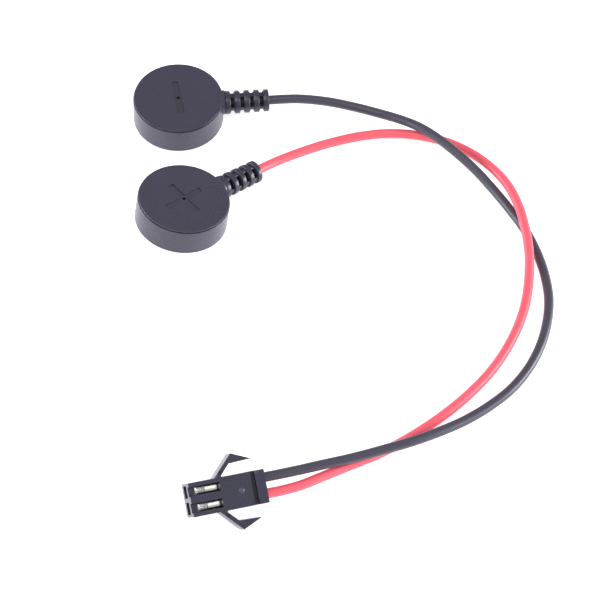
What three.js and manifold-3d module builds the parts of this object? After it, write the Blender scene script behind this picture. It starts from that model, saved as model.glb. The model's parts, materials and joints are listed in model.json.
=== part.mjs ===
// Two-lead magnetic contact set: a negative and a positive round contact pod, each on its own single-core
// lead, both leads ending in one two-way plug with two sprung latch arms. Millimetres, +Z up. The pods and
// the plug stand on the plane z = 0, and the origin is the middle of the two pods' footprint on that plane.

import * as THREE from 'three';
import { mergeVertices } from 'three/addons/utils/BufferGeometryUtils.js';
import Module from 'manifold-3d';

const wasm = await Module();
wasm.setup();

// ---------------------------------------------------------------- driving dimensions

const FIT = 0.06; // clearance left round a piece that sits in another
const ROUND = 48; // sides of a pod's round pieces
const FINE = 20; // sides of a strain relief, a lead or a core

const POD = { radius: 7.75, height: 5.25, rimStep: 0.2, skirtFoot: 0.2, roof: 1.2, wellRadius: 6.4 };
const MARK = { length: 7.2, width: 1.1, depth: 0.15, holeRadius: 0.3, holeDepth: 0.6 };
const PLATE = { radius: 6.85, thickness: 0.5 };
const MAGNET = { radius: 4.0, thickness: 2.5 };
const PAD = { radius: 4.0, thickness: 0.25 };
const RIB = { inner: 4.12, outer: 4.42, foot: 2.0, gapStart: 2, gapEnd: 6, gapHalfWidth: 1.6 };
const NECK = { end: 7.95, halfWidth: 2.05, flatHalfWidth: 1.3 };

const LEAD = { radius: 0.8, axisHeight: 3.2, coreRadius: 0.38 };
const RELIEF = { start: 8.0, rootRadius: 2.03, endRadius: 1.93, rings: 5, ringWidth: 0.9, grooveWidth: 0.77 };
const GROOVE = { depth: 0.28, windowFloor: 1.05, windowHalfAngle: 29, windowInset: 0.13, clearRadius: 3 };
const SPIGOT = { radius: 1.2, start: 5.95 }; // the relief's neck, through the hole in the cover's wall
const FLANGE = { start: 5.75, end: 6.12, halfWidth: 1.45 }; // and the flange behind the wall
const RELIEF_LENGTH = RELIEF.rings * RELIEF.ringWidth + (RELIEF.rings - 1) * RELIEF.grooveWidth;
const RELIEF_END = RELIEF.start + RELIEF_LENGTH;
const TAG = { x: 4.95, thickness: 0.25, width: 1.3, foot: 1.2, top: 2.75 };
const JOINT = { x: 5.0, radius: 0.62, sink: 0.1 };
const CORE_START = 4.5;
const TAIL_START = 5.68; // where the insulation is stripped inside a pod
const CORE_SIDES = 12;
const MAGNET_SIDES = 36;

const PODS = [
  { name: 'negative', x: -3.96, y: 11.45, lift: 0, yaw: 8.4, tilt: 0, markTurn: 5.5 },
  { name: 'positive', x: -1.85, y: -11.55, lift: 0.955, yaw: 41, tilt: 8, markTurn: 3 },
];

const PLUG = { length: 12, width: 5.2, height: 5, pitch: 2.54 };
const PLUG_POSE = { x: 2.83, y: -66.9, z: 2.3, yaw: 19.3, pitch: 4.4, roll: 32 };
const CAVITY = { width: 1.9, bottom: 1.05, top: 3.15 };
const CAVITY_AXIS = (CAVITY.bottom + CAVITY.top) / 2;
const WINDOW = { start: 0.95, end: 4.85, width: 1.36 };
const NOTCH = { end: 1.0, depth: 0.9, width: 1.5 }; // shallow, ahead of each window, open at the front
const RELEASE_GROOVE = { start: 9.75, end: 10.45, depth: 0.7 };
const BOSS = { x: 8, radius: 0.45, height: 0.12, sides: 16 };

// A latch arm's outline in the plug's plan view: a straight strip that leans back from its root on the
// housing's side, with a barb that points to the rear.
const ARM = { rootX: 4.15, apexX: 7.33, apexY: 5.9, tipX: 10.4, tipY: 4.53, heelX: 6.82, heelY: 4.38 };
const ARM_SECTION = { width: 0.69, bottom: 1.85, top: 4.95 };
const HINGE = { along: 1.25, gap: 0.16 };

const CONTACT = { start: 1.3, end: 4.9, width: 1.5, bottom: 1.12, top: 3.0, wall: 0.2, shoulder: 0.31 };
const CONTACT_RIBS = { places: [1.45, 1.8, 2.15], length: 0.2, halfWidth: 0.44, height: 0.12 };
const FLOOR_STRIP = { halfWidth: 0.5, overlap: 0.2 };
const LANCE = { hinge: 2.8, end: 4.8, width: 0.8, thickness: 0.16, rise: 12 };
const SPRING = { hinge: 4.2, end: 1.6, width: 0.7, thickness: 0.14, rise: 8, height: 1.46 };
const BARREL = { coreStart: 5.3, coreEnd: 6.6, gripStart: 7.2, gripEnd: 8.5, coreWall: 0.2, gripWall: 0.12 };
const CORE_IN_PLUG = { start: 5.6, end: 6.95 };
const PLUG_TAIL_START = 7.0;

// Each free lead's centreline, from its strain relief to the back of the plug.
const LEAD_SIDES = 8;
const LEAD_STEPS = 37;
const BLACK_ROUTE = [
  [11.75, 13.77, 3.2], [14.24, 14.14, 3.2], [17.0, 14.55, 3.0], [21.5, 15.0, 2.2], [26.3, 14.8, 1.4],
  [31.1, 13.7, 1.2], [34.9, 11.9, 1.9], [37.6, 10.2, 2.45], [40.2, 8.3, 2.6], [43.4, 5.6, 2.4],
  [47.1, 2.3, 1.7], [50.3, -1.3, 1.05], [53.2, -5.3, 0.82], [55.8, -9.6, 0.8], [57.7, -14.1, 0.8],
  [59.0, -18.8, 0.8], [59.6, -23.7, 0.8], [59.2, -28.6, 0.8], [58.0, -33.4, 0.8], [56.0, -37.9, 0.8],
  [53.2, -42.0, 0.8], [49.7, -45.5, 0.85], [45.9, -48.6, 1.15], [41.8, -51.4, 1.8], [37.6, -53.8, 2.35],
  [33.1, -55.8, 2.6], [28.5, -57.7, 2.8], [23.9, -59.4, 3.1], [20.2, -60.82, 3.38], [16.95, -61.99, 3.61],
  [14.6, -62.82, 3.8],
];
const RED_ROUTE = [
  [10.35, -0.94, 1.91], [12.24, 0.7, 1.56], [14.5, 2.4, 1.25], [18.4, 4.8, 1.0], [22.8, 7.0, 0.85],
  [27.4, 8.7, 0.8], [32.2, 9.7, 0.8], [37.2, 9.7, 0.8], [42.0, 8.7, 0.8], [46.4, 6.5, 0.9],
  [50.1, 3.1, 1.3], [52.8, -1.1, 2.0], [54.5, -5.6, 2.5], [55.6, -10.3, 2.55], [56.3, -15.2, 2.0],
  [56.3, -20.1, 1.2], [55.7, -24.9, 0.82], [54.4, -29.7, 0.8], [52.5, -34.3, 0.8], [50.1, -38.6, 0.8],
  [47.2, -42.5, 0.8], [43.9, -46.2, 0.8], [40.3, -49.6, 0.8], [36.5, -52.7, 0.8], [32.4, -55.5, 0.82],
  [28.2, -58.0, 1.1], [24.2, -60.5, 1.6], [20.6, -62.7, 2.0], [17.56, -64.06, 2.27], [15.21, -64.89, 2.46],
];

// ---------------------------------------------------------------- finishes

const finish = (color, roughness, metalness) => ({ color, roughness, metalness });
const BLACK_PLASTIC = finish(0x3b3a45, 0.5, 0);
const BLACK_PVC = finish(0x2c2b33, 0.42, 0);
const RED_PVC = finish(0xe0424f, 0.38, 0);
const NICKEL = finish(0xb9b7b0, 0.28, 1);
const TIN = finish(0xc9c8c4, 0.35, 1);
const SOLDER = finish(0x9a9b9d, 0.4, 1);
const COPPER = finish(0xb5683f, 0.35, 1);
const CARD = finish(0x8a8577, 0.85, 0);

// ---------------------------------------------------------------- helpers

const radians = THREE.MathUtils.degToRad;

function solid(geometry) {
  const bare = geometry.clone();
  bare.deleteAttribute('normal');
  bare.deleteAttribute('uv');
  const merged = mergeVertices(bare, 1e-5);
  const corners = merged.index.array;
  const faces = [];
  for (let at = 0; at < corners.length; at += 3) {
    const [a, b, c] = corners.slice(at, at + 3);
    if (a !== b && b !== c && c !== a) {
      faces.push(a, b, c);
    }
  }
  const mesh = new wasm.Mesh({
    numProp: 3,
    vertProperties: new Float32Array(merged.attributes.position.array),
    triVerts: new Uint32Array(faces),
  });
  return new wasm.Manifold(mesh);
}

function geometryOf(manifold) {
  const mesh = manifold.getMesh();
  const geometry = new THREE.BufferGeometry();
  geometry.setAttribute('position', new THREE.BufferAttribute(new Float32Array(mesh.vertProperties), 3));
  geometry.setIndex(new THREE.BufferAttribute(new Uint32Array(mesh.triVerts), 1));
  return geometry;
}

const joined = (first, ...rest) => rest.reduce((sum, each) => sum.add(each), first);
const cut = (body, ...tools) => tools.reduce((left, each) => left.subtract(each), body);

function block(x0, x1, y0, y1, z0, z1) {
  const geometry = new THREE.BoxGeometry(x1 - x0, y1 - y0, z1 - z0);
  geometry.translate((x0 + x1) / 2, (y0 + y1) / 2, (z0 + z1) / 2);
  return geometry;
}

function discAlongZ(radius, z0, z1, sides = ROUND) {
  const geometry = new THREE.CylinderGeometry(radius, radius, z1 - z0, sides);
  geometry.rotateX(Math.PI / 2);
  geometry.translate(0, 0, (z0 + z1) / 2);
  return geometry;
}

// A round bar along +X at (y, z), from x0 to x1, with its own radius at each end.
function barAlongX(r0, r1, x0, x1, y = 0, z = 0, sides = FINE) {
  const geometry = new THREE.CylinderGeometry(r1, r0, x1 - x0, sides);
  geometry.rotateZ(-Math.PI / 2);
  geometry.translate((x0 + x1) / 2, y, z);
  return geometry;
}

function turned(profile, sides = ROUND) {
  const points = profile.map(([radius, height]) => new THREE.Vector2(radius, height));
  const geometry = new THREE.LatheGeometry(points, sides);
  geometry.rotateX(Math.PI / 2);
  return geometry;
}

function plateFromOutline(outline, z0, z1) {
  const shape = new THREE.Shape(outline.map(([x, y]) => new THREE.Vector2(x, y)));
  const geometry = new THREE.ExtrudeGeometry(shape, { depth: z1 - z0, bevelEnabled: false });
  geometry.translate(0, 0, z0);
  return geometry;
}

function piece(name, geometry, look) {
  const mesh = new THREE.Mesh(geometry, new THREE.MeshStandardMaterial(look));
  mesh.name = name;
  return mesh;
}

// ---------------------------------------------------------------- contact pods

// In a pod's own frame the contact face's centre is the origin, and the lead leaves along +X.

function podCover(isPositive, markTurn) {
  const { radius, height, rimStep, skirtFoot, roof, wellRadius } = POD;
  const ledge = PLATE.thickness + FIT;
  const shell = solid(turned([
    [0, height - roof], [wellRadius, height - roof], [wellRadius, ledge],
    [PLATE.radius + FIT, ledge], [PLATE.radius + FIT, skirtFoot], [radius, skirtFoot],
    [radius - 0.05, height - rimStep], [radius - 2 * rimStep, height], [0, height],
  ]));
  const rib = solid(turned([
    [RIB.inner, RIB.foot], [RIB.outer, RIB.foot], [RIB.outer, height - roof + 0.2],
    [RIB.inner, height - roof + 0.2], [RIB.inner, RIB.foot],
  ]));
  const ribGap = solid(block(RIB.gapStart, RIB.gapEnd, -RIB.gapHalfWidth, RIB.gapHalfWidth,
    RIB.foot - 1, height - roof));
  const { end: neckEnd, halfWidth, flatHalfWidth } = NECK;
  const neckStart = wellRadius + 0.5;
  const neckRound = solid(barAlongX(halfWidth, halfWidth, neckStart, neckEnd, 0, LEAD.axisHeight));
  const neckTop = solid(block(neckStart, neckEnd, -flatHalfWidth, flatHalfWidth, LEAD.axisHeight, height));
  const leadHole = solid(
    barAlongX(SPIGOT.radius, SPIGOT.radius, wellRadius - 0.6, neckEnd + 1, 0, LEAD.axisHeight),
  );
  const bars = [solid(markBar(MARK.width, MARK.length, markTurn))];
  if (isPositive) {
    bars.push(solid(markBar(MARK.length, MARK.width, markTurn)));
  }
  const pinHole = solid(discAlongZ(MARK.holeRadius, height - MARK.holeDepth, height + 1, 12));
  return geometryOf(cut(joined(shell, cut(rib, ribGap), neckRound, neckTop), leadHole, pinHole, ...bars));
}

function markBar(sizeX, sizeY, turn) {
  const top = POD.height;
  const geometry = block(-sizeX / 2, sizeX / 2, -sizeY / 2, sizeY / 2, top - MARK.depth, top + 1);
  geometry.rotateZ(radians(turn));
  return geometry;
}

function strainRelief() {
  const axis = LEAD.axisHeight;
  const { start, rootRadius, endRadius } = RELIEF;
  const radiusAt = (x) => THREE.MathUtils.mapLinear(x, start, RELIEF_END, rootRadius, endRadius);
  let body = solid(barAlongX(rootRadius, endRadius, start, RELIEF_END, 0, axis));
  const pitch = RELIEF.ringWidth + RELIEF.grooveWidth;
  for (let ring = 1; ring < RELIEF.rings; ring += 1) {
    const x0 = start + ring * pitch - RELIEF.grooveWidth;
    const x1 = x0 + RELIEF.grooveWidth;
    const web = radiusAt(x0) - GROOVE.depth;
    const sleeve = cut(
      solid(barAlongX(GROOVE.clearRadius, GROOVE.clearRadius, x0, x1, 0, axis)),
      solid(barAlongX(web, web, x0 - 1, x1 + 1, 0, axis)),
    );
    body = cut(body, sleeve, ...reliefWindows(x0 + GROOVE.windowInset, x1 - GROOVE.windowInset));
  }
  const spigotRadius = SPIGOT.radius - FIT;
  const spigot = solid(barAlongX(spigotRadius, spigotRadius, SPIGOT.start, start + 0.2, 0, axis));
  const flange = solid(block(FLANGE.start, FLANGE.end, -FLANGE.halfWidth, FLANGE.halfWidth,
    axis - SPIGOT.radius, POD.height - POD.roof - FIT));
  const boreRadius = LEAD.radius + FIT;
  const bore = solid(barAlongX(boreRadius, boreRadius, FLANGE.start - 1, RELIEF_END + 1, 0, axis));
  return geometryOf(cut(joined(body, spigot, flange), bore));
}

// The four wedge windows of one groove, between the relief's ribs.
function reliefWindows(x0, x1) {
  const windows = [];
  for (const middle of [45, 135, 225, 315]) {
    const half = GROOVE.windowHalfAngle;
    const corner = (radius, angle) => [radius * Math.cos(radians(angle)), radius * Math.sin(radians(angle))];
    const outline = [
      corner(GROOVE.windowFloor, middle - half), corner(GROOVE.clearRadius, middle - half),
      corner(GROOVE.clearRadius, middle + half), corner(GROOVE.windowFloor, middle + half),
    ];
    const wedge = plateFromOutline(outline, 0, x1 - x0);
    wedge.applyMatrix4(new THREE.Matrix4().makeBasis(
      new THREE.Vector3(0, 1, 0), new THREE.Vector3(0, 0, 1), new THREE.Vector3(1, 0, 0),
    ));
    wedge.translate(x0, 0, LEAD.axisHeight);
    windows.push(solid(wedge));
  }
  return windows;
}

function contactPlate() {
  const { radius, thickness } = PLATE;
  return turned([[0, 0], [radius - 0.15, 0], [radius, 0.15], [radius, thickness], [0, thickness]]);
}

function solderTag() {
  const { x, thickness, width, top } = TAG;
  const toe = x + TAG.foot;
  const base = PLATE.thickness + FIT;
  const outline = [[x, base], [toe, base], [toe, base + thickness], [x + thickness, base + thickness],
    [x + thickness, top], [x, top]];
  const geometry = plateFromOutline(outline, -width / 2, width / 2);
  geometry.rotateX(Math.PI / 2);
  return geometry;
}

function solderJoint() {
  const blob = new THREE.SphereGeometry(JOINT.radius, 14, 10);
  blob.scale(0.95, 1.1, 1);
  blob.translate(JOINT.x, 0, LEAD.axisHeight - JOINT.sink);
  const reach = 2 * JOINT.radius;
  const [x0, x1] = [JOINT.x - reach, JOINT.x + reach];
  const roomRadius = LEAD.coreRadius + FIT;
  const coreRoom = barAlongX(roomRadius, roomRadius, x0, x1, 0, LEAD.axisHeight, CORE_SIDES);
  const tagRoom = block(TAG.x - FIT, TAG.x + TAG.thickness + FIT, -reach, reach, 0, TAG.top + FIT);
  const below = block(x0, x1, -reach, reach, 0, TAG.top - JOINT.sink);
  return geometryOf(cut(solid(blob), solid(coreRoom), solid(tagRoom), solid(below)));
}

function buildPod({ name, x, y, lift, yaw, tilt, markTurn }) {
  const isPositive = name === 'positive';
  const plateTop = PLATE.thickness + FIT;
  const magnetTop = plateTop + MAGNET.thickness;
  const leadColour = isPositive ? 'red' : 'black';
  const leadLook = isPositive ? RED_PVC : BLACK_PVC;
  const axis = LEAD.axisHeight;
  const padBottom = magnetTop + FIT;
  const magnet = discAlongZ(MAGNET.radius, plateTop, magnetTop, MAGNET_SIDES);
  const pad = discAlongZ(PAD.radius, padBottom, padBottom + PAD.thickness, MAGNET_SIDES);
  const core = barAlongX(LEAD.coreRadius, LEAD.coreRadius, CORE_START, TAIL_START - FIT, 0, axis, CORE_SIDES);
  const tail = barAlongX(LEAD.radius, LEAD.radius, TAIL_START, RELIEF_END, 0, axis);
  const pod = new THREE.Group();
  pod.add(
    piece(`${name}_cover`, podCover(isPositive, markTurn), BLACK_PLASTIC),
    piece(`${name}_strain_relief`, strainRelief(), BLACK_PLASTIC),
    piece(`${name}_contact_plate`, contactPlate(), NICKEL),
    piece(`${name}_magnet`, magnet, NICKEL),
    piece(`${name}_backing_pad`, pad, CARD),
    piece(`${name}_solder_tag`, solderTag(), TIN),
    piece(`${name}_solder_joint`, solderJoint(), SOLDER),
    piece(`${leadColour}_core_in_pod`, core, COPPER),
    piece(`${leadColour}_lead_in_relief`, tail, leadLook),
  );
  pod.rotation.set(0, radians(tilt), radians(yaw), 'ZYX');
  pod.position.set(x, y, lift);
  return pod;
}

// ---------------------------------------------------------------- plug

// In the plug's own frame x runs from the mating face to the back, y to the black lead's side and z up
// from the bottom face.

const SIDES = [
  { colour: 'black', sign: 1, look: BLACK_PVC },
  { colour: 'red', sign: -1, look: RED_PVC },
];

// The arm's own directions: along the strip, and across it towards the housing.
const alongArm = new THREE.Vector2(ARM.apexX - ARM.rootX, ARM.apexY - PLUG.width / 2).normalize();
const acrossArm = new THREE.Vector2(alongArm.y, -alongArm.x);

function armPoint(along, across) {
  return [
    ARM.rootX + alongArm.x * along + acrossArm.x * across,
    PLUG.width / 2 + alongArm.y * along + acrossArm.y * across,
  ];
}

const mirrored = (outline, sign) => (sign > 0 ? outline : outline.map(([x, y]) => [x, -y]).reverse());

function armRoot(sign) {
  const end = HINGE.along - HINGE.gap / 2;
  const outline = [armPoint(-0.3, 0), armPoint(end, 0), armPoint(end, ARM_SECTION.width),
    armPoint(0.2, ARM_SECTION.width), armPoint(-0.3, ARM_SECTION.width)];
  return plateFromOutline(mirrored(outline.reverse(), sign), ARM_SECTION.bottom, ARM_SECTION.top);
}

function latchArm(sign) {
  const start = HINGE.along + HINGE.gap / 2;
  const outline = [armPoint(start, ARM_SECTION.width), [ARM.heelX, ARM.heelY], [ARM.tipX, ARM.tipY],
    [ARM.apexX, ARM.apexY], armPoint(start, 0)];
  return plateFromOutline(mirrored(outline, sign), ARM_SECTION.bottom, ARM_SECTION.top);
}

function plugHousing() {
  const { length, width, height, pitch } = PLUG;
  let body = solid(block(0, length, -width / 2, width / 2, 0, height));
  for (const { sign } of SIDES) {
    const y = sign * pitch / 2;
    const half = CAVITY.width / 2;
    body = cut(
      joined(body, solid(armRoot(sign))),
      solid(block(-1, length + 1, y - half, y + half, CAVITY.bottom, CAVITY.top)),
      solid(block(WINDOW.start, WINDOW.end, y - WINDOW.width / 2, y + WINDOW.width / 2,
        CAVITY.top - 0.1, height + 1)),
      solid(block(-1, NOTCH.end, y - NOTCH.width / 2, y + NOTCH.width / 2,
        height - NOTCH.depth, height + 1)),
    );
  }
  const { start, end, depth } = RELEASE_GROOVE;
  const groove = block(start, end, -width, width, height - depth, height + 1);
  const boss = discAlongZ(BOSS.radius, height - 0.2, height + BOSS.height, BOSS.sides);
  boss.translate(BOSS.x, 0, 0);
  return geometryOf(joined(cut(body, solid(groove)), solid(boss)));
}

// The contact's box seen along the plug: square below, with sloping shoulders above. The inner outline is
// the same shape drawn in by the strip's thickness.
function boxSection(half, bottom, top, shoulder, x0, x1) {
  const outline = [[-half, bottom], [half, bottom], [half, top - shoulder], [half - shoulder, top],
    [shoulder - half, top], [-half, top - shoulder]];
  const geometry = plateFromOutline(outline, 0, x1 - x0);
  geometry.applyMatrix4(new THREE.Matrix4().makeBasis(
    new THREE.Vector3(0, 1, 0), new THREE.Vector3(0, 0, 1), new THREE.Vector3(1, 0, 0),
  ));
  geometry.translate(x0, 0, 0);
  return geometry;
}

function crimpContact() {
  const { start, end, width, bottom, top, wall, shoulder } = CONTACT;
  const half = width / 2;
  const middle = (bottom + top) / 2;
  const shell = cut(
    solid(boxSection(half, bottom, top, shoulder, start, end)),
    solid(boxSection(half - wall, bottom + wall, top - wall, shoulder / 2, start - 1, end + 1)),
    solid(block(LANCE.hinge - 0.1, end + 1, -LANCE.width / 2 - FIT, LANCE.width / 2 + FIT, middle, top + 1)),
  );
  const strip = FLOOR_STRIP.halfWidth;
  const floor = solid(block(end - FLOOR_STRIP.overlap, BARREL.gripEnd, -strip, strip, bottom, bottom + wall));
  const { places, length, halfWidth, height } = CONTACT_RIBS;
  const ribs = places.map((x) => solid(block(x, x + length, -halfWidth, halfWidth, top - 0.1, top + height)));
  const coreRoom = LEAD.coreRadius + FIT;
  const leadRoom = LEAD.radius + FIT / 2;
  const coreBarrel = crimpBarrel(BARREL.coreStart, BARREL.coreEnd, coreRoom + BARREL.coreWall);
  const grip = crimpBarrel(BARREL.gripStart, BARREL.gripEnd, leadRoom + BARREL.gripWall);
  return cut(
    joined(shell, floor, ...ribs, coreBarrel, grip),
    solid(barAlongX(coreRoom, coreRoom, BARREL.coreStart - 1, PLUG_TAIL_START, 0, CAVITY_AXIS, CORE_SIDES)),
    solid(barAlongX(leadRoom, leadRoom, PLUG_TAIL_START - FIT, BARREL.gripEnd + 1, 0, CAVITY_AXIS)),
  );
}

// A wrapped crimp: a round barrel on a foot that stands on the contact's floor strip.
function crimpBarrel(x0, x1, radius) {
  const outer = solid(barAlongX(radius, radius, x0, x1, 0, CAVITY_AXIS));
  const strip = FLOOR_STRIP.halfWidth;
  const foot = solid(block(x0, x1, -strip, strip, CONTACT.bottom, CAVITY_AXIS));
  const side = CAVITY.width / 2 - FIT;
  const limit = solid(block(x0 - 1, x1 + 1, -side, side, CONTACT.bottom, CAVITY.top - FIT));
  return joined(outer, foot).intersect(limit);
}

// A leaf of spring strip from its hinge to its free end, raised by an angle about the Y axis.
function leaf({ hinge, end, width, thickness, rise }, height) {
  const length = Math.abs(end - hinge);
  const direction = Math.sign(end - hinge);
  const geometry = block(0, length, -width / 2, width / 2, -thickness / 2, thickness / 2);
  geometry.rotateY(-radians(rise));
  if (direction < 0) {
    geometry.rotateZ(Math.PI);
  }
  geometry.translate(hinge, 0, height);
  return geometry;
}

function buildPlug() {
  const plug = new THREE.Group();
  plug.add(piece('plug_housing', plugHousing(), BLACK_PLASTIC));
  for (const { colour, sign, look } of SIDES) {
    const way = new THREE.Group();
    way.position.y = sign * PLUG.pitch / 2;
    const lanceHeight = CONTACT.top - LANCE.thickness / 2;
    const { start, end } = CORE_IN_PLUG;
    const core = barAlongX(LEAD.coreRadius, LEAD.coreRadius, start, end, 0, CAVITY_AXIS, CORE_SIDES);
    const tail = barAlongX(LEAD.radius, LEAD.radius, PLUG_TAIL_START, PLUG.length, 0, CAVITY_AXIS);
    way.add(
      piece(`${colour}_crimp_contact`, geometryOf(crimpContact()), TIN),
      piece(`${colour}_locking_lance`, leaf(LANCE, lanceHeight), TIN),
      piece(`${colour}_pin_spring`, leaf(SPRING, SPRING.height), TIN),
      piece(`${colour}_core_in_plug`, core, COPPER),
      piece(`${colour}_lead_in_plug`, tail, look),
    );
    plug.add(piece(`latch_arm_${colour}_side`, latchArm(sign), BLACK_PLASTIC), way);
  }
  plug.rotation.set(radians(PLUG_POSE.roll), radians(PLUG_POSE.pitch), radians(PLUG_POSE.yaw), 'ZYX');
  plug.position.set(PLUG_POSE.x, PLUG_POSE.y, PLUG_POSE.z);
  return plug;
}

// ---------------------------------------------------------------- free leads

function freeLead(name, route, look) {
  const section = new THREE.Shape();
  for (let side = 0; side < LEAD_SIDES; side += 1) {
    const angle = (side / LEAD_SIDES) * 2 * Math.PI;
    const x = LEAD.radius * Math.cos(angle);
    const y = LEAD.radius * Math.sin(angle);
    if (side === 0) {
      section.moveTo(x, y);
    } else {
      section.lineTo(x, y);
    }
  }
  section.closePath();
  const path = new THREE.CatmullRomCurve3(route.map(([x, y, z]) => new THREE.Vector3(x, y, z)));
  const shape = { steps: LEAD_STEPS, bevelEnabled: false, extrudePath: path };
  const geometry = new THREE.ExtrudeGeometry(section, shape);
  return piece(name, geometry, look);
}

// ---------------------------------------------------------------- the whole set

const contactSet = new THREE.Group();
contactSet.add(
  ...PODS.map(buildPod),
  freeLead('black_lead', BLACK_ROUTE, BLACK_PVC),
  freeLead('red_lead', RED_ROUTE, RED_PVC),
  buildPlug(),
);

export default contactSet;
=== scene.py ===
# %% [markdown]
# # A two-pole magnetic contact lead
#
# Two round pods, one for each pole, hang on a black and a red lead. Both leads end in one small latching
# plug. The lesson starts from a finished mechanical model and gives it the surface of the real thing: soft
# moulded edges, satin plastic, rubbery insulation and bright plated strip.

# %% Load the frame
import json
import math

import bmesh
import bpy
from mathutils import Matrix, Vector


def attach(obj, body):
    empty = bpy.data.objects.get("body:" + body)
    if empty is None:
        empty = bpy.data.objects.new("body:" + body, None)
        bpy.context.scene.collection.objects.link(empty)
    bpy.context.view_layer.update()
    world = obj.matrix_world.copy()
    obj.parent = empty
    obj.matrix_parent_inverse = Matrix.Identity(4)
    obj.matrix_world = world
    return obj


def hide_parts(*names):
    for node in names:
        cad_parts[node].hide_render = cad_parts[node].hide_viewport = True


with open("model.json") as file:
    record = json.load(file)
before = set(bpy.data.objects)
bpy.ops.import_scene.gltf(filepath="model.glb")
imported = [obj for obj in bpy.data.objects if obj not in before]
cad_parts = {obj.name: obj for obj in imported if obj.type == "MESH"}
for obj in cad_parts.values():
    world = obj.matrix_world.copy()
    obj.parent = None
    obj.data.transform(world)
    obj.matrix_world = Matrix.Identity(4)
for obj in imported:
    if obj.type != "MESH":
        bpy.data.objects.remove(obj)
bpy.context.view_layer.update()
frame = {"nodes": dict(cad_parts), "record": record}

record = frame["record"]
print("nodes:", len(frame["nodes"]))

# %% [markdown]
# ## Units and the three local frames
#
# Each pod and the plug was moulded straight, and then lies at its own angle. Working in the piece's own
# straight frame, in millimetres, keeps every number simple. The frames come from the mounts in the record:
# a mount gives a point on a face and the way that the face looks.

# %% Sizes shared by several pieces, in millimetres
MM = 0.001
LEAD_RADIUS = 0.8
AXIS_HEIGHT = 3.2
POD_RADIUS = 7.75
POD_HEIGHT = 5.25
RELIEF_START = 8.0
RING_COUNT, RING_WIDTH, RING_GAP = 5, 0.9, 0.77
RELIEF_END = RELIEF_START + RING_COUNT * RING_WIDTH + (RING_COUNT - 1) * RING_GAP
PLUG_LENGTH, PLUG_WIDTH, PLUG_HEIGHT = 12.0, 5.2, 5.0
PITCH = 2.54
JOIN = 0.32  # how far an inner length of lead runs on, to meet the free lead
print("strain relief ends", round(RELIEF_END, 2), "mm from the pod's middle")

# %% The free leads' routes, in metres
BLACK_ROUTE = [
    (0.01175, 0.01377, 0.0032), (0.01424, 0.01414, 0.0032), (0.017, 0.01455, 0.003),
    (0.0215, 0.015, 0.0022), (0.0263, 0.0148, 0.0014), (0.0311, 0.0137, 0.0012),
    (0.0349, 0.0119, 0.0019), (0.0376, 0.0102, 0.00245), (0.0402, 0.0083, 0.0026),
    (0.0434, 0.0056, 0.0024), (0.0471, 0.0023, 0.0017), (0.0503, -0.0013, 0.00105),
    (0.0532, -0.0053, 0.00082), (0.0558, -0.0096, 0.0008), (0.0577, -0.0141, 0.0008),
    (0.059, -0.0188, 0.0008), (0.0596, -0.0237, 0.0008), (0.0592, -0.0286, 0.0008),
    (0.058, -0.0334, 0.0008), (0.056, -0.0379, 0.0008), (0.0532, -0.042, 0.0008),
    (0.0497, -0.0455, 0.00085), (0.0459, -0.0486, 0.00115), (0.0418, -0.0514, 0.0018),
    (0.0376, -0.0538, 0.00235), (0.0331, -0.0558, 0.0026), (0.0285, -0.0577, 0.0028),
    (0.0239, -0.0594, 0.0031), (0.0202, -0.06082, 0.00338), (0.01695, -0.06199, 0.00361),
    (0.0146, -0.06282, 0.0038),
]
RED_ROUTE = [
    (0.01035, -0.00094, 0.00191), (0.01224, 0.0007, 0.00156), (0.0145, 0.0024, 0.00125),
    (0.0184, 0.0048, 0.001), (0.0228, 0.007, 0.00085), (0.0274, 0.0087, 0.0008),
    (0.0322, 0.0097, 0.0008), (0.0372, 0.0097, 0.0008), (0.042, 0.0087, 0.0008),
    (0.0464, 0.0065, 0.0009), (0.0501, 0.0031, 0.0013), (0.0528, -0.0011, 0.002),
    (0.0545, -0.0056, 0.0025), (0.0556, -0.0103, 0.00255), (0.0563, -0.0152, 0.002),
    (0.0563, -0.0201, 0.0012), (0.0557, -0.0249, 0.00082), (0.0544, -0.0297, 0.0008),
    (0.0525, -0.0343, 0.0008), (0.0501, -0.0386, 0.0008), (0.0472, -0.0425, 0.0008),
    (0.0439, -0.0462, 0.0008), (0.0403, -0.0496, 0.0008), (0.0365, -0.0527, 0.0008),
    (0.0324, -0.0555, 0.00082), (0.0282, -0.058, 0.0011), (0.0242, -0.0605, 0.0016),
    (0.0206, -0.0627, 0.002), (0.01756, -0.06406, 0.00227), (0.01521, -0.06489, 0.00246),
]
print("route points:", len(BLACK_ROUTE), "black,", len(RED_ROUTE), "red")

# %% Local frames from the mounts
mounts = {mount["name"]: mount for mount in record["mounts"]}


def local_frame(origin, along, up):
    """A matrix from a piece's own millimetres to metres in the shared frame."""
    z = Vector(up).normalized()
    x = Vector(along)
    x = (x - x.dot(z) * z).normalized()
    y = z.cross(x)
    turn = Matrix((x, y, z)).transposed().to_4x4()
    return Matrix.Translation(origin) @ turn @ Matrix.Scale(MM, 4)


def pod_frame(sign_name, lead_start):
    face = mounts[f"{sign_name}_contact_face"]
    origin, up = Vector(face["pos_m"]), -Vector(face["axis"])
    return local_frame(origin, Vector(lead_start) - origin, up)


def plug_frame():
    face, top = mounts["plug_mating_face"], mounts["plug_top_face"]
    up = Vector(top["axis"])
    origin = Vector(face["pos_m"]) - 0.5 * MM * up
    return local_frame(origin, -Vector(face["axis"]), up)


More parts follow.
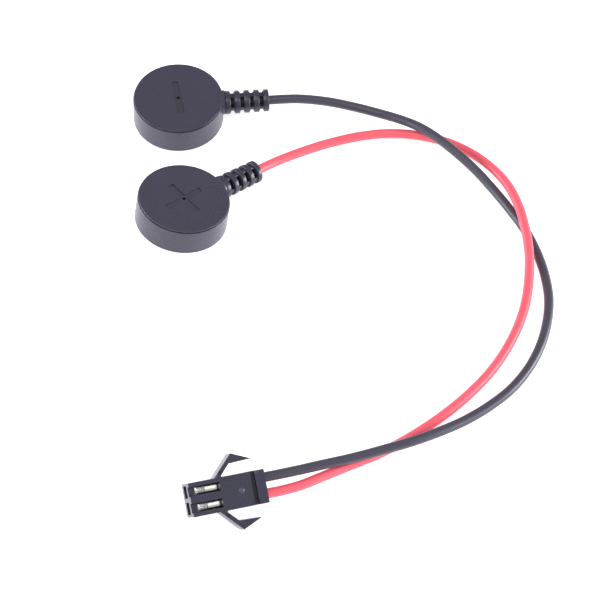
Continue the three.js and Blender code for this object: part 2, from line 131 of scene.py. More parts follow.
PODS = {  # mark_turn: how far the moulded mark stands off square to the lead, in degrees
    "negative": {"colour": "black", "place": pod_frame("negative", BLACK_ROUTE[0]), "mark_turn": 5.5},
    "positive": {"colour": "red", "place": pod_frame("positive", RED_ROUTE[0]), "mark_turn": 3.0},
}
PLUG = plug_frame()
for name, pod in PODS.items():
    print(name, "pod stands at", [round(v / MM, 2) for v in pod["place"].translation], "mm")
print("plug's front stands at", [round(v / MM, 2) for v in PLUG.translation], "mm")

# %% [markdown]
# ## The camera
#
# Small products are shot from well back with a long lens, so that near and far ends keep nearly the same
# scale. A camera can be aimed by a constraint, but building its matrix from three angles and a distance
# keeps each of them a plain number. It looks down at a little over fifty degrees and leans by a few.

# %% Camera
LOOK_AT = Vector((18.8, -26.1, 0.0)) * MM
DISTANCE = 393.2 * MM
ELEVATION, ROLL = math.radians(54.14), math.radians(3.18)
SENSOR_MM, LENS_MM = 36, 143.94
camera = bpy.data.objects.new("camera", bpy.data.cameras.new("camera"))
bpy.context.scene.collection.objects.link(camera)
back = Vector((0, -math.cos(ELEVATION), math.sin(ELEVATION)))
tilt = Matrix.Rotation(math.pi / 2 - ELEVATION, 4, "X") @ Matrix.Rotation(ROLL, 4, "Z")
camera.matrix_world = Matrix.Translation(LOOK_AT + DISTANCE * back) @ tilt
camera.data.sensor_width, camera.data.lens = SENSOR_MM, LENS_MM
camera.data.clip_start, camera.data.clip_end = 0.01, 10
bpy.context.scene.camera = camera
print("camera is", round(DISTANCE / MM), "mm from the middle of the set")

# %% [markdown]
# ## Writing shader maths as sums
#
# A material is a graph of nodes. Wiring each small sum by hand hides what the sum is, so one class wraps a
# socket and lets Python's own operators add the Math nodes. Anything else comes from its `node` method.

# %% The socket class
class Wire:
    """One socket of a material's node tree, which can be added to, taken away from and multiplied."""

    def __init__(self, tree, socket=None):
        self.tree, self.socket = tree, socket

    def node(self, kind, settings=None, sockets=None, out=0):
        made = self.tree.nodes.new(kind)
        for key, value in (settings or {}).items():
            if key == "stops":
                self._stops(made.color_ramp, value)
            else:
                setattr(made, key, value)
        for key, value in (sockets or {}).items():
            if isinstance(value, Wire):
                self.tree.links.new(value.socket, made.inputs[key])
            else:
                made.inputs[key].default_value = value
        return Wire(self.tree, made.outputs[out])

    @staticmethod
    def _stops(ramp, stops):
        while len(ramp.elements) < len(stops):
            ramp.elements.new(0.5)
        for element, (position, value) in zip(ramp.elements, stops):
            element.position = position
            element.color = (value, value, value, 1)

    def _math(self, operation, first, second):
        return self.node("ShaderNodeMath", {"operation": operation}, {0: first, 1: second})

    def __add__(self, other):
        return self._math("ADD", self, other)

    __radd__ = __add__

    def __sub__(self, other):
        return self._math("SUBTRACT", self, other)

    def __rsub__(self, other):
        return self._math("SUBTRACT", other, self)

    def __mul__(self, other):
        return self._math("MULTIPLY", self, other)

    __rmul__ = __mul__


print("socket class ready")

# %% [markdown]
# ## Building blocks for finishes
#
# Every finish here draws on a few shared pieces: noise of a stated size in millimetres, a mix of two tints
# and a fine relief that tilts the surface. Noise is read in the object's own coordinates, so that it stays
# with a piece when the piece moves. Painted images could do the same work, but sums need no files and stay
# sharp at any distance.

# %% Noise, tints and fine relief
def new_finish(name):
    material = bpy.data.materials.new(name)
    material.use_nodes = True
    tree = material.node_tree
    shader = tree.nodes["Principled BSDF"]
    return material, Wire(tree), shader


def noise(start, size_mm, detail=3.0, stretch=(1, 1, 1)):
    """Noise from 0 to 1, with features about size_mm across."""
    place = start.node("ShaderNodeTexCoord", out="Object")
    place = start.node("ShaderNodeMapping", None, {"Vector": place, "Scale": stretch})
    sockets = {"Vector": place, "Scale": 1 / (size_mm * MM), "Detail": detail}
    return start.node("ShaderNodeTexNoise", None, sockets, out="Fac")


def tint(start, share, under, over):
    """under where share is 0 and over where it is 1. under is a colour, or a tint mixed before."""
    under = under if isinstance(under, Wire) else (*under, 1)
    return start.node("ShaderNodeMix", {"data_type": "RGBA"}, {0: share, 6: under, 7: (*over, 1)}, out=2)


def raised(start, height, depth_mm):
    return start.node("ShaderNodeBump", None, {"Distance": depth_mm * MM, "Height": height}, out="Normal")


def plug_in(start, shader, **sockets):
    for name, value in sockets.items():
        socket = shader.inputs[name.replace("_", " ")]
        if isinstance(value, Wire):
            start.tree.links.new(value.socket, socket)
        else:
            socket.default_value = value


def lighter(colour, share):
    """The colour times share, which darkens it when share is below 1."""
    return tuple(min(1.0, c * share) for c in colour)


print("half of a mid grey is", lighter((0.5, 0.5, 0.5), 0.5))

# %% [markdown]
# ## Masks for worn edges, painted shade in hollows and one painted highlight
#
# Handling rubs edges first, and slots stay dull. Slots, recesses and corners are also painted darker, as
# painted shade, since little light reaches a hollow. Both can be worked out from the shape: a rounded normal
# leans away from the true one only at an edge, and an occlusion test finds a hollow. Painting them by hand
# would have to be done again whenever the shape changed. The spot is a painted highlight: all that lies
# within a distance of one point is painted lighter.

# %% Masks
EDGE_SAMPLES, HOLLOW_SAMPLES = 4, 16
HOLLOW_BELOW = 0.85  # a place counts as hollow where less than this share of its surroundings is open
CLAMPED_PRODUCT = {"operation": "MULTIPLY", "use_clamp": True}


def worn_edges(start, width_mm, gain):
    """1 on edges and 0 on flats."""
    rounded = start.node("ShaderNodeBevel", {"samples": EDGE_SAMPLES}, {"Radius": width_mm * MM})
    normal = start.node("ShaderNodeNewGeometry", out="Normal")
    agreement = start.node("ShaderNodeVectorMath", {"operation": "DOT_PRODUCT"},
                           {0: rounded, 1: normal}, out="Value")
    return start.node("ShaderNodeMath", CLAMPED_PRODUCT, {0: 1 - agreement, 1: gain})


def hollows(start, reach_mm, gain):
    """1 deep in slots and corners and 0 in the open. It darkens the colour there as painted shade, and dulls
    it.
    """
    settings = {"samples": HOLLOW_SAMPLES, "only_local": True}
    open_share = start.node("ShaderNodeAmbientOcclusion", settings, {"Distance": reach_mm * MM}, out="AO")
    return start.node("ShaderNodeMath", CLAMPED_PRODUCT, {0: HOLLOW_BELOW - open_share, 1: gain})


def near(start, centre, radius):
    """1 within the radius of a point, both in metres, and 0 outside it."""
    place = start.node("ShaderNodeTexCoord", out="Object")
    away = start.node("ShaderNodeVectorMath", {"operation": "DISTANCE"}, {0: place, 1: centre}, out="Value")
    return start.node("ShaderNodeMath", {"operation": "LESS_THAN"}, {0: away, 1: radius})


print("edges take", EDGE_SAMPLES, "samples and hollows take", HOLLOW_SAMPLES)

# %% [markdown]
# ## Moulded plastic
#
# The pods, strain reliefs and plug come out of a spark-eroded steel mould, which leaves a fine even grain.
# The colour isn't a true black: it is a dark slate with a little violet. Flow in the mould gives faint
# cloudy patches, and handling polishes the outer edges. One flat colour would look like paint, so each of
# these shifts the tint or the roughness a little.

# %% Moulded plastic
CLOUD_MM, SPECK_MM, GRAIN_DEPTH = 4.0, 0.35, 0.006
# The hollow tint is painted shade in slots and corners, and the spot tint is a painted highlight.
CLOUD_TINTS, RUBBED_TINT, HOLLOW_SHADE_TINT, HIGHLIGHT_SPOT_TINT = (0.86, 1.14), 2.1, 0.12, 2.0  # times the colour
RUBBED_WIDTH, RUBBED_GAIN = 0.12, 3.0
HOLLOW_REACH, HOLLOW_GAIN = 0.7, 1.9


def moulded_plastic(name, colour, roughness, grain_mm=0.09, painted_highlight_spot=None):
    material, start, shader = new_finish(name)
    cloud = noise(start, CLOUD_MM)
    speck = noise(start, SPECK_MM, detail=5.0)
    grain = noise(start, grain_mm, detail=4.0)
    edge = worn_edges(start, RUBBED_WIDTH, RUBBED_GAIN)
    hollow_shade_and_dullness = hollows(start, HOLLOW_REACH, HOLLOW_GAIN)
    base = tint(start, cloud, *(lighter(colour, share) for share in CLOUD_TINTS))
    base = tint(start, edge * (0.25 + speck * 0.3), base, lighter(colour, RUBBED_TINT))
    # Painted shade: slots, recesses and corners are painted darker than the plastic.
    base = tint(start, hollow_shade_and_dullness * 0.9, base, lighter(colour, HOLLOW_SHADE_TINT))
    # A painted highlight: the plastic within the spot is painted lighter.
    if painted_highlight_spot:
        base = tint(start, near(start, *painted_highlight_spot), base, lighter(colour, HIGHLIGHT_SPOT_TINT))
    surface = roughness - 0.05 + speck * 0.07 + cloud * 0.05 - edge * 0.08 + hollow_shade_and_dullness * 0.5
    plug_in(start, shader, Base_Color=base, Roughness=surface,
            Normal=raised(start, grain + speck * 0.5, GRAIN_DEPTH))
    return material


POD_PLASTIC = moulded_plastic("satin_pod_plastic", (0.033, 0.0305, 0.051), 0.27)
RELIEF_PLASTIC = moulded_plastic("satin_relief_plastic", (0.024, 0.0225, 0.038), 0.28)
BOSS_X, BOSS_RADIUS, BOSS_HEIGHT = 8.0, 0.45, 0.12  # a small moulded dot on the plug's top
# A painted highlight on the boss's dome: a spot a little wider than the boss is painted lighter.
HIGHLIGHT_SPOT_RADIUS = 1.1 * BOSS_RADIUS
boss_centre = PLUG @ Vector((BOSS_X, 0, PLUG_HEIGHT))
PLUG_PLASTIC = moulded_plastic("satin_plug_plastic", (0.027, 0.0255, 0.042), 0.27, grain_mm=0.07,
                               painted_highlight_spot=(boss_centre, HIGHLIGHT_SPOT_RADIUS * MM))
print("moulded plastics:", POD_PLASTIC.name, RELIEF_PLASTIC.name, PLUG_PLASTIC.name)

# %% [markdown]
# ## Insulation
#
# The leads' jackets are extruded soft plastic. The die leaves a faintly rippled surface with a broad soft
# highlight. Dust and finger marks dull it in patches. Three noises of different size give all of this, and
# the same function serves both colours.

# %% Insulation
PATCH_MM, RIPPLE_MM, PORE_MM, RIPPLE_DEPTH = 6.0, 0.5, 0.12, 0.008
PATCH_TINTS, PORE_TINT = (0.92, 1.08), 0.7


def insulation(name, colour, roughness):
    material, start, shader = new_finish(name)
    patch = noise(start, PATCH_MM)
    ripple = noise(start, RIPPLE_MM, detail=4.0)
    pore = noise(start, PORE_MM)
    base = tint(start, patch, *(lighter(colour, share) for share in PATCH_TINTS))
    base = tint(start, pore * 0.12, base, lighter(colour, PORE_TINT))
    surface = roughness + patch * 0.08 + ripple * 0.06
    plug_in(start, shader, Base_Color=base, Roughness=surface,
            Normal=raised(start, ripple + pore * 0.4, RIPPLE_DEPTH))
    return material


BLACK_JACKET = insulation("black_jacket", (0.045, 0.042, 0.06), 0.3)
RED_JACKET = insulation("red_jacket", (0.84, 0.1, 0.13), 0.34)
print("insulation:", BLACK_JACKET.name, RED_JACKET.name)

# %% [markdown]
# ## Metals
#
# Plated strip is bright along the direction that it was rolled in. Stretching noise along one axis gives
# those rolling lines. Solder is duller and lumpy, and the bare conductor is warm copper. All of them are one
# function, because they differ only in colour, in shine and in the size of their lines.

# %% Metals
STAIN_MM, STAIN_TINTS, BRIGHT_TINT = 1.6, (0.84, 1.08), 1.3
BRIGHT_WIDTH, BRIGHT_SHARE = 0.05, 0.35  # strip is thin, so its bright edges are narrow
EVEN = (1, 1, 1)


def plated(name, colour, roughness, line_mm=0.08, stretch=(0.15, 1, 1), line_depth=0.004):
    material, start, shader = new_finish(name)
    lines = noise(start, line_mm, detail=4.0, stretch=stretch)
    stain = noise(start, STAIN_MM)
    edge = worn_edges(start, BRIGHT_WIDTH, RUBBED_GAIN)
    base = tint(start, stain, *(lighter(colour, share) for share in STAIN_TINTS))
    base = tint(start, edge * BRIGHT_SHARE, base, lighter(colour, BRIGHT_TINT))
    surface = roughness + lines * 0.12 + stain * 0.1
    plug_in(start, shader, Base_Color=base, Roughness=surface, Metallic=1.0,
            Normal=raised(start, lines, line_depth))
    return material


NICKEL = plated("turned_nickel", (0.62, 0.6, 0.56), 0.2)
MAGNET_PLATE = plated("magnet_nickel", (0.6, 0.6, 0.6), 0.24, stretch=EVEN)
TIN = plated("bright_tin", (0.86, 0.84, 0.8), 0.2, line_mm=0.12)
SOLDER = plated("cooled_solder", (0.55, 0.55, 0.57), 0.34, line_mm=0.3, stretch=EVEN, line_depth=0.02)
COPPER = plated("bare_copper", (0.72, 0.4, 0.24), 0.26, line_mm=0.2, stretch=(0.1, 1, 1), line_depth=0.02)
print("metals:", [m.name for m in (NICKEL, MAGNET_PLATE, TIN, SOLDER, COPPER)])

# %% [markdown]
# ## Card
#
# The pad behind each magnet is pressed fibre: matt, mottled, with fibres lying mostly one way. Noise that is
# stretched along one axis draws the fibres, and an even noise on top gives the mottle.

# %% Backing card
def fibre_card(name, colour):
    material, start, shader = new_finish(name)
    fibre = noise(start, 0.25, detail=6.0, stretch=(0.4, 1, 1))
    mottle = noise(start, 1.5)
    base = tint(start, fibre * 0.6 + mottle * 0.4, lighter(colour, 0.75), lighter(colour, 1.2))
    plug_in(start, shader, Base_Color=base, Roughness=0.8 + fibre * 0.15,
            Normal=raised(start, fibre, 0.02))
    return material


CARD = fibre_card("fibre_card", (0.33, 0.31, 0.27))
print("card:", CARD.name)

# %% [markdown]
# ## The free leads
#
# A lead is a tube swept along a line. A curve with a round bevel is the natural tool: it keeps one even
# thickness however the line turns. The line passes through listed points. A spline whose steps follow
# the distance between points doesn't overshoot where they are close together, as an even one would.

# %% A smooth line through points
STEPS_PER_SPAN = 10


def knots(points):
    """The spline's parameter at each point: steps of the square root of the distance."""
    times = [0.0]
    for a, b in zip(points, points[1:]):
        times.append(times[-1] + math.sqrt((b - a).length))
    return times


def mix(a, b, ta, tb, t):
    return a * ((tb - t) / (tb - ta)) + b * ((t - ta) / (tb - ta))


def smooth_line(route):
    points = [Vector(p) for p in route]
    points = [2 * points[0] - points[1], *points, 2 * points[-1] - points[-2]]
    t = knots(points)
    line = []
    for i in range(1, len(points) - 2):
        p0, p1, p2, p3 = points[i - 1:i + 3]
        t0, t1, t2, t3 = t[i - 1:i + 3]
        for step in range(STEPS_PER_SPAN):
            now = t1 + (t2 - t1) * step / STEPS_PER_SPAN
            a1, a2, a3 = mix(p0, p1, t0, t1, now), mix(p1, p2, t1, t2, now), mix(p2, p3, t2, t3, now)
            b1, b2 = mix(a1, a2, t0, t2, now), mix(a2, a3, t1, t3, now)
            line.append(mix(b1, b2, t1, t2, now))
    return [*line, points[-2]]


def length_of(line):
    return sum((b - a).length for a, b in zip(line, line[1:]))


print("the black route has", len(smooth_line(BLACK_ROUTE)), "points once smoothed")

# %% The two leads
BEVEL_STEPS = 6


def free_lead(name, route, material, node):
    line = smooth_line(route)
    data = bpy.data.curves.new(name, "CURVE")
    data.dimensions = "3D"
    data.bevel_depth = LEAD_RADIUS * MM
    data.bevel_resolution = BEVEL_STEPS
    data.use_fill_caps = True
    spline = data.splines.new("POLY")
    spline.points.add(len(line) - 1)
    for point, at in zip(spline.points, line):
        point.co = (*at, 1)
    spline.use_smooth = True
    data.materials.append(material)
    lead = bpy.data.objects.new(name, data)
    bpy.context.scene.collection.objects.link(lead)
    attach(lead, "lead_set")
    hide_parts(node)
    length = length_of(line)
    print(name, "is", round(length / MM, 1), "mm long")
    return lead, length


black_lead, black_length = free_lead("black_free_lead", BLACK_ROUTE, BLACK_JACKET, "black_lead")
red_lead, red_length = free_lead("red_free_lead", RED_ROUTE, RED_JACKET, "red_lead")

# %% [markdown]
# ## Solid building
#
# Moulded parts are blends of turned and pushed-through shapes. Each shape below is a closed list of points
# and faces, worked out from a short profile or outline, so that one changed number changes the whole piece.

# %% Turned shapes
ON_AXIS = 1e-9


def turned(profile, sides, place=lambda r, h, c, s: (r * c, r * s, h)):
    """A solid of revolution. Its profile starts and ends on the axis."""
    points, rows = [], []
    for radius, height in profile:
        if radius < ON_AXIS:
            rows.append([len(points)])
            points.append(place(0, height, 1, 0))
            continue
        rows.append(list(range(len(points), len(points) + sides)))
        for i in range(sides):
            angle = 2 * math.pi * i / sides
            points.append(place(radius, height, math.cos(angle), math.sin(angle)))
    faces = []
    for low, high in zip(rows, rows[1:]):
        for i in range(sides):
            j = (i + 1) % sides
            if len(low) == 1:
                faces.append((low[0], high[i], high[j]))
            elif len(high) == 1:
                faces.append((low[i], high[0], low[j]))
            else:
                faces.append((low[i], high[i], high[j], low[j]))
    return points, faces


def along_x(radius, height, cosine, sine):
    """Turns a solid about the lead's axis in place of the pod's."""
    return (height, radius * cosine, AXIS_HEIGHT + radius * sine)


print("a cone of 8 sides has", len(turned([(0, 0), (1, 0), (0, 1)], sides=8)[1]), "faces")

# %% Pushed-through shapes
def prism(outline, low, high, place=lambda u, v, w: (u, v, w)):
    count = len(outline)
    points = [place(u, v, w) for w in (low, high) for u, v in outline]
    sides = [(i, (i + 1) % count, (i + 1) % count + count, i + count) for i in range(count)]
    return points, [tuple(reversed(range(count))), tuple(range(count, 2 * count)), *sides]


def slab(x0, x1, y0, y1, z0, z1):
    return prism([(x0, y0), (x1, y0), (x1, y1), (x0, y1)], z0, z1)


print("a slab has", len(slab(0, 1, 0, 1, 0, 1)[1]), "faces")

# %% Softened corners
CORNER_STEPS = 4
CORNER_SHARE = 0.45  # an arc takes at most this share of the shorter side


def curve_through(start, corner, end, t):
    """A point at t, from 0 to 1, on the arc that a corner pulls towards itself."""
    return tuple((1 - t) ** 2 * start + 2 * t * (1 - t) * corner + t * t * end)


def softened(outline, radius, closed=True):
    """The same outline with each corner turned into a small arc."""
    out = []
    count = len(outline)
    for i, (x, y) in enumerate(outline):
        if not closed and i in (0, count - 1):
            out.append((x, y))
            continue
        corner = Vector((x, y))
        before, after = Vector(outline[i - 1]) - corner, Vector(outline[(i + 1) % count]) - corner
        reach = min(radius, before.length * CORNER_SHARE, after.length * CORNER_SHARE)
        start, end = corner + before.normalized() * reach, corner + after.normalized() * reach
        out += [curve_through(start, corner, end, step / CORNER_STEPS) for step in range(CORNER_STEPS + 1)]
    return out


print("a softened square has", len(softened([(0, 0), (1, 0), (1, 1), (0, 1)], 0.2)), "points")

# %% [markdown]
# ## Joining, cutting and rounding
#
# Boolean modifiers join and cut the solids, as a mould's own blocks do, and a bevel on what is left gives
# the small round that every mould leaves on an edge. Modelling the same edges by hand would be slow to
# change. Each modifier is settled at once, so that a piece ends as one plain mesh.

# %% Joining and cutting
ROUND_FROM = math.radians(38)  # sharper edges than this are rounded
WELD_WITHIN = 0.002


def raw_object(name, shape):
    mesh = bpy.data.meshes.new(name)
    mesh.from_pydata(shape[0], [], shape[1])
    work = bmesh.new()
    work.from_mesh(mesh)
    bmesh.ops.recalc_face_normals(work, faces=work.faces)
    work.to_mesh(mesh)
    work.free()
    made = bpy.data.objects.new(name, mesh)
    bpy.context.scene.collection.objects.link(made)
    return made


def settle(thing):
    """Turns what the modifiers show into the object's own mesh."""
    bpy.context.view_layer.update()
    evaluated = thing.evaluated_get(bpy.context.evaluated_depsgraph_get())
    mesh = bpy.data.meshes.new_from_object(evaluated)
    thing.modifiers.clear()
    old, thing.data = thing.data, mesh
    bpy.data.meshes.remove(old)


def carved(name, base, joins=(), cuts=(), *, edge):
    """base with the joins added, the cuts taken away, and its edges rounded by edge millimetres."""
    body = raw_object(name, base)
    for operation, shapes in (("UNION", joins), ("DIFFERENCE", cuts)):
        for shape in shapes:
            tool = raw_object("tool", shape)
            change = body.modifiers.new("change", "BOOLEAN")
            change.operation, change.solver, change.object = operation, "EXACT", tool
            settle(body)
            bpy.data.objects.remove(tool)
    weld = body.modifiers.new("weld", "WELD")
    weld.merge_threshold = WELD_WITHIN
    bevel = body.modifiers.new("edge", "BEVEL")
    bevel.width, bevel.segments = edge, 2
    bevel.limit_method, bevel.angle_limit = "ANGLE", ROUND_FROM
    settle(body)
    return body


print("edges sharper than", round(math.degrees(ROUND_FROM)), "degrees are rounded")

# %% Finishing a piece
SMOOTH_TO = math.radians(36)  # faces that meet at less than this are shaded as one


def finished(piece, place, material, body, slot, *nodes):
    """Puts a piece made in its own millimetres in the shared frame, hangs it on its body and hides the parts
    that it replaces.
    """
    piece.data.transform(place)
    piece.data.shade_smooth()
    piece.data.set_sharp_from_angle(angle=SMOOTH_TO)
    flats = piece.modifiers.new("flats", "WEIGHTED_NORMAL")
    flats.keep_sharp = True
    settle(piece)
    piece.data.materials.clear()
    piece.data.materials.append(material)
    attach(piece, body)
    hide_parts(*nodes)
    work = bmesh.new()
    work.from_mesh(piece.data)
    loose = sum(not e.is_manifold for e in work.edges)
    work.free()
    print(piece.name, len(piece.data.polygons), "faces,", loose, "open edges")
    return piece


print("faces are shaded smooth up to", round(math.degrees(SMOOTH_TO)), "degrees")

# %% [markdown]
# ## The pod covers
#
# Each cover is a shallow cup, open below, with a step round its rim where the mould's two halves meet. A
# short neck blends its flat top into the strain relief. The minus or plus is a shallow recess with the mark
# of a mould pin at its middle. A turned cup carved with rounded bars gives all of this with true edges.

# %% Cover sizes
WELL_RADIUS, WELL_TOP = 6.4, 4.05
PLATE_LEDGE, PLATE_ROOM, SKIRT_FOOT = 0.56, 6.91, 0.2
MARK_LENGTH, MARK_WIDTH, MARK_DEPTH = 7.2, 1.1, 0.15
PIN_RADIUS, PIN_DEPTH = 0.3, 0.6
NECK_HALF, NECK_FLAT, NECK_START, NECK_END = 2.05, 0.85, 6.9, 7.95
SHOULDER_OUT, SHOULDER_DOWN = 0.35, 0.16  # the neck's top corners, out from its flat and down from the top
PARTING_LOW, PARTING_HIGH = 0.36, 0.2  # the parting groove, measured down from the top
PARTING_DEPTH = 0.2
RIM_RADIUS = 7.6
WALL_DRAFT, RIM_DRAFT, GROOVE_DRAFT = 0.05, 0.04, 0.03  # slopes that let the mould open
RIM_SOFT, MARK_SOFT = 0.08, 0.22
HOLE_RADIUS, HOLE_START = 1.2, WELL_RADIUS - 0.6
ABOVE = POD_HEIGHT + 1  # cutting shapes run on past the top
print("a cover is", 2 * POD_RADIUS, "mm across and", POD_HEIGHT, "mm high")

# %% Cover shapes
def cover_profile():
    low, high = POD_HEIGHT - PARTING_LOW, POD_HEIGHT - PARTING_HIGH
    groove = RIM_RADIUS - PARTING_DEPTH
    outside = softened([
        (PLATE_ROOM, SKIRT_FOOT), (POD_RADIUS, SKIRT_FOOT), (POD_RADIUS - WALL_DRAFT, low),
        (groove, low + GROOVE_DRAFT), (groove, high - GROOVE_DRAFT), (RIM_RADIUS, high),
        (RIM_RADIUS - RIM_DRAFT, POD_HEIGHT), (0, POD_HEIGHT),
    ], RIM_SOFT, closed=False)
    inside = [(0, WELL_TOP), (WELL_RADIUS, WELL_TOP), (WELL_RADIUS, PLATE_LEDGE), (PLATE_ROOM, PLATE_LEDGE)]
    return inside + outside


def bar(length, width, turn, low, high):
    """A bar with round corners, turned about the pod's axis by so many degrees."""
    outline = [(-length / 2, -width / 2), (length / 2, -width / 2),
               (length / 2, width / 2), (-length / 2, width / 2)]
    c, s = math.cos(math.radians(turn)), math.sin(math.radians(turn))
    return prism([(c * x - s * y, s * x + c * y) for x, y in softened(outline, MARK_SOFT)], low, high)


def neck():
    """Flat on top and round below, where it meets the strain relief."""
    shoulder, steps = (NECK_FLAT + SHOULDER_OUT, POD_HEIGHT - SHOULDER_DOWN), 40
    outline = [(-NECK_FLAT, POD_HEIGHT), (-shoulder[0], shoulder[1])]
    for step in range(steps + 1):
        angle = math.radians(130 + 280 * step / steps)
        outline.append((NECK_HALF * math.cos(angle), AXIS_HEIGHT + NECK_HALF * math.sin(angle)))
    outline += [shoulder, (NECK_FLAT, POD_HEIGHT)]
    return prism(outline, NECK_START, NECK_END, place=lambda u, v, w: (w, u, v))


def pod_cover(name, place, turn):
    mark_floor, pin_floor = POD_HEIGHT - MARK_DEPTH, POD_HEIGHT - PIN_DEPTH
    cuts = [bar(MARK_WIDTH, MARK_LENGTH, turn, mark_floor, ABOVE)]
    if name == "positive":
        cuts.append(bar(MARK_LENGTH, MARK_WIDTH, turn, mark_floor, ABOVE))
    pin = [(0, pin_floor), (PIN_RADIUS, pin_floor), (PIN_RADIUS, ABOVE), (0, ABOVE)]
    cuts.append(turned(pin, sides=24))
    hole_end = NECK_END + 1
    hole = [(0, HOLE_START), (HOLE_RADIUS, HOLE_START), (HOLE_RADIUS, hole_end), (0, hole_end)]
    cuts.append(turned(hole, sides=48, place=along_x))
    cover = carved(f"{name}_pod_cover", turned(cover_profile(), sides=144), [neck()], cuts, edge=0.05)
    finished(cover, place, POD_PLASTIC, "lead_set", "pod_plastic", f"{name}_cover")


for name, pod in PODS.items():
    pod_cover(name, pod["place"], pod["mark_turn"])

# %% [markdown]
# ## The strain reliefs
#
# A strain relief is a sleeve of rings with windows between them, so that it bends evenly and the lead isn't
# creased where it leaves the pod. It tapers towards the lead. Sixteen windows could be cut one by one, but
# each cut would leave ragged faces. Here the surface is one closed skin instead: each station along the
# sleeve is a loop of points, and the loops between two rings dip at the windows.

# %% Strain relief sizes
ROOT_RADIUS, TIP_RADIUS = 2.03, 1.93
WEB_DEPTH, WINDOW_FLOOR, WINDOW_HALF, WINDOW_EDGE, WINDOW_INSET = 0.28, 0.98, 30.0, 3.0, 0.1
WINDOW_SPACING = 90.0  # degrees from one window to the next
RING_ROUND, ROUND_STEPS = 0.16, 4
SLEEVE_SIDES = 144
BORE, BORE_EDGE = LEAD_RADIUS + 0.06, 0.1
SPIGOT_RADIUS, SPIGOT_START = 1.14, 5.95
print("a sleeve has", (RING_COUNT - 1) * round(360 / WINDOW_SPACING), "windows")

# %% Strain relief
def relief_radius(x):
    share = (x - RELIEF_START) / (RELIEF_END - RELIEF_START)
    return ROOT_RADIUS + (TIP_RADIUS - ROOT_RADIUS) * share


def window_share(angle):
    """0 on a web and 1 in the middle of one of the four windows."""
    from_middle = (math.degrees(angle) - WINDOW_SPACING / 2) % WINDOW_SPACING
    from_middle = min(from_middle, WINDOW_SPACING - from_middle)
    t = max(0.0, min(1.0, (WINDOW_HALF + WINDOW_EDGE - from_middle) / WINDOW_EDGE))
    return t * t * (3 - 2 * t)


def ring_stations(start):
    """(x, drop below the ring's own radius) along one ring, with a round on both its edges."""
    rounds = [(0.0, RING_ROUND)]
    for step in range(1, ROUND_STEPS + 1):
        angle = math.pi / 2 * step / ROUND_STEPS
        rounds.append((RING_ROUND * (1 - math.cos(angle)), RING_ROUND * (1 - math.sin(angle))))
    rising = [(start + along, drop) for along, drop in rounds]
    falling = [(start + RING_WIDTH - along, drop) for along, drop in reversed(rounds)]
    return rising + falling


def sleeve_loops():
    """(x, radius, whether the loop dips at the windows) along the outside."""
    loops = []
    for ring in range(RING_COUNT):
        start = RELIEF_START + ring * (RING_WIDTH + RING_GAP)
        loops += [(x, relief_radius(x) - drop, False) for x, drop in ring_stations(start)]
        if ring < RING_COUNT - 1:
            gap_from, gap_to = start + RING_WIDTH, start + RING_WIDTH + RING_GAP
            window_from, window_to = gap_from + WINDOW_INSET, gap_to - WINDOW_INSET
            stops = [(gap_from, False), (window_from, False), (window_from, True),
                     (window_to, True), (window_to, False), (gap_to, False)]
            loops += [(x, relief_radius(x) - WEB_DEPTH, dips) for x, dips in stops]
    return loops


def strain_relief(name, place):
    loops = sleeve_loops()
    loops += [(RELIEF_END, BORE + BORE_EDGE, False), (RELIEF_END - BORE_EDGE, BORE, False),
              (SPIGOT_START, BORE, False), (SPIGOT_START, SPIGOT_RADIUS, False),
              (RELIEF_START, SPIGOT_RADIUS, False)]
    points, faces = [], []
    for x, radius, dips in loops:
        for i in range(SLEEVE_SIDES):
            angle = 2 * math.pi * i / SLEEVE_SIDES
            here = radius
            if dips:
                here += (WINDOW_FLOOR - radius) * window_share(angle)
            points.append((x, here * math.cos(angle), AXIS_HEIGHT + here * math.sin(angle)))
    for row in range(len(loops)):
        low, high = row * SLEEVE_SIDES, (row + 1) % len(loops) * SLEEVE_SIDES
        for i in range(SLEEVE_SIDES):
            j = (i + 1) % SLEEVE_SIDES
            faces.append((low + i, low + j, high + j, high + i))
    sleeve = raw_object(f"{name}_relief_sleeve", (points, faces))
    finished(sleeve, place, RELIEF_PLASTIC, "lead_set", "relief_plastic", f"{name}_strain_relief")


for name, pod in PODS.items():
    strain_relief(name, pod["place"])

# %% [markdown]
# ## Lead inside the sleeve, and what the pod holds
#
# The jacket runs on through the sleeve. Under the cover sit a turned contact plate, a magnet, a card pad,
# and a tag with a soldered conductor. Only the plate can be seen from outside, so only the plate is
# remade, with the fine rings that turning leaves. The rest keep their shapes and take their own finishes.

# %% Inner lengths of lead
TAIL_RADIUS, TAIL_EDGE = LEAD_RADIUS - 0.005, 0.06  # just inside the free lead, where the two overlap
TAIL_START = 5.68
JACKETS = {"black": BLACK_JACKET, "red": RED_JACKET}


def jacket_tail(name, place, height, y, start, end, material, slot, node):
    """A plain length of jacket along local X, with its inner end slightly rounded."""
    def along(r, h, c, s):
        return (h, y + r * c, height + r * s)

    profile = [(0, start), (TAIL_RADIUS - TAIL_EDGE, start), (TAIL_RADIUS, start + TAIL_EDGE),
               (TAIL_RADIUS, end), (0, end)]
    tail = raw_object(name, turned(profile, sides=40, place=along))
    return finished(tail, place, material, "lead_set", slot, node)


for name, pod in PODS.items():
    colour = pod["colour"]
    jacket_tail(f"{colour}_tail_in_relief", pod["place"], AXIS_HEIGHT, 0, TAIL_START, RELIEF_END + JOIN,
                JACKETS[colour], f"{colour}_insulation", f"{colour}_lead_in_relief")

# %% Contact plate
PLATE_RADIUS, PLATE_THICK = 6.85, 0.5
MARK_RADII = (2.2, 4.1, 5.6)
MARK_TOP_HALF, MARK_FLOOR_HALF, MARK_CUT = 0.12, 0.04, 0.06  # a turned ring mark: its two widths and depth
PLATE_ROUND, PLATE_CORNER, PLATE_EDGE = 0.16, 0.05, 0.04


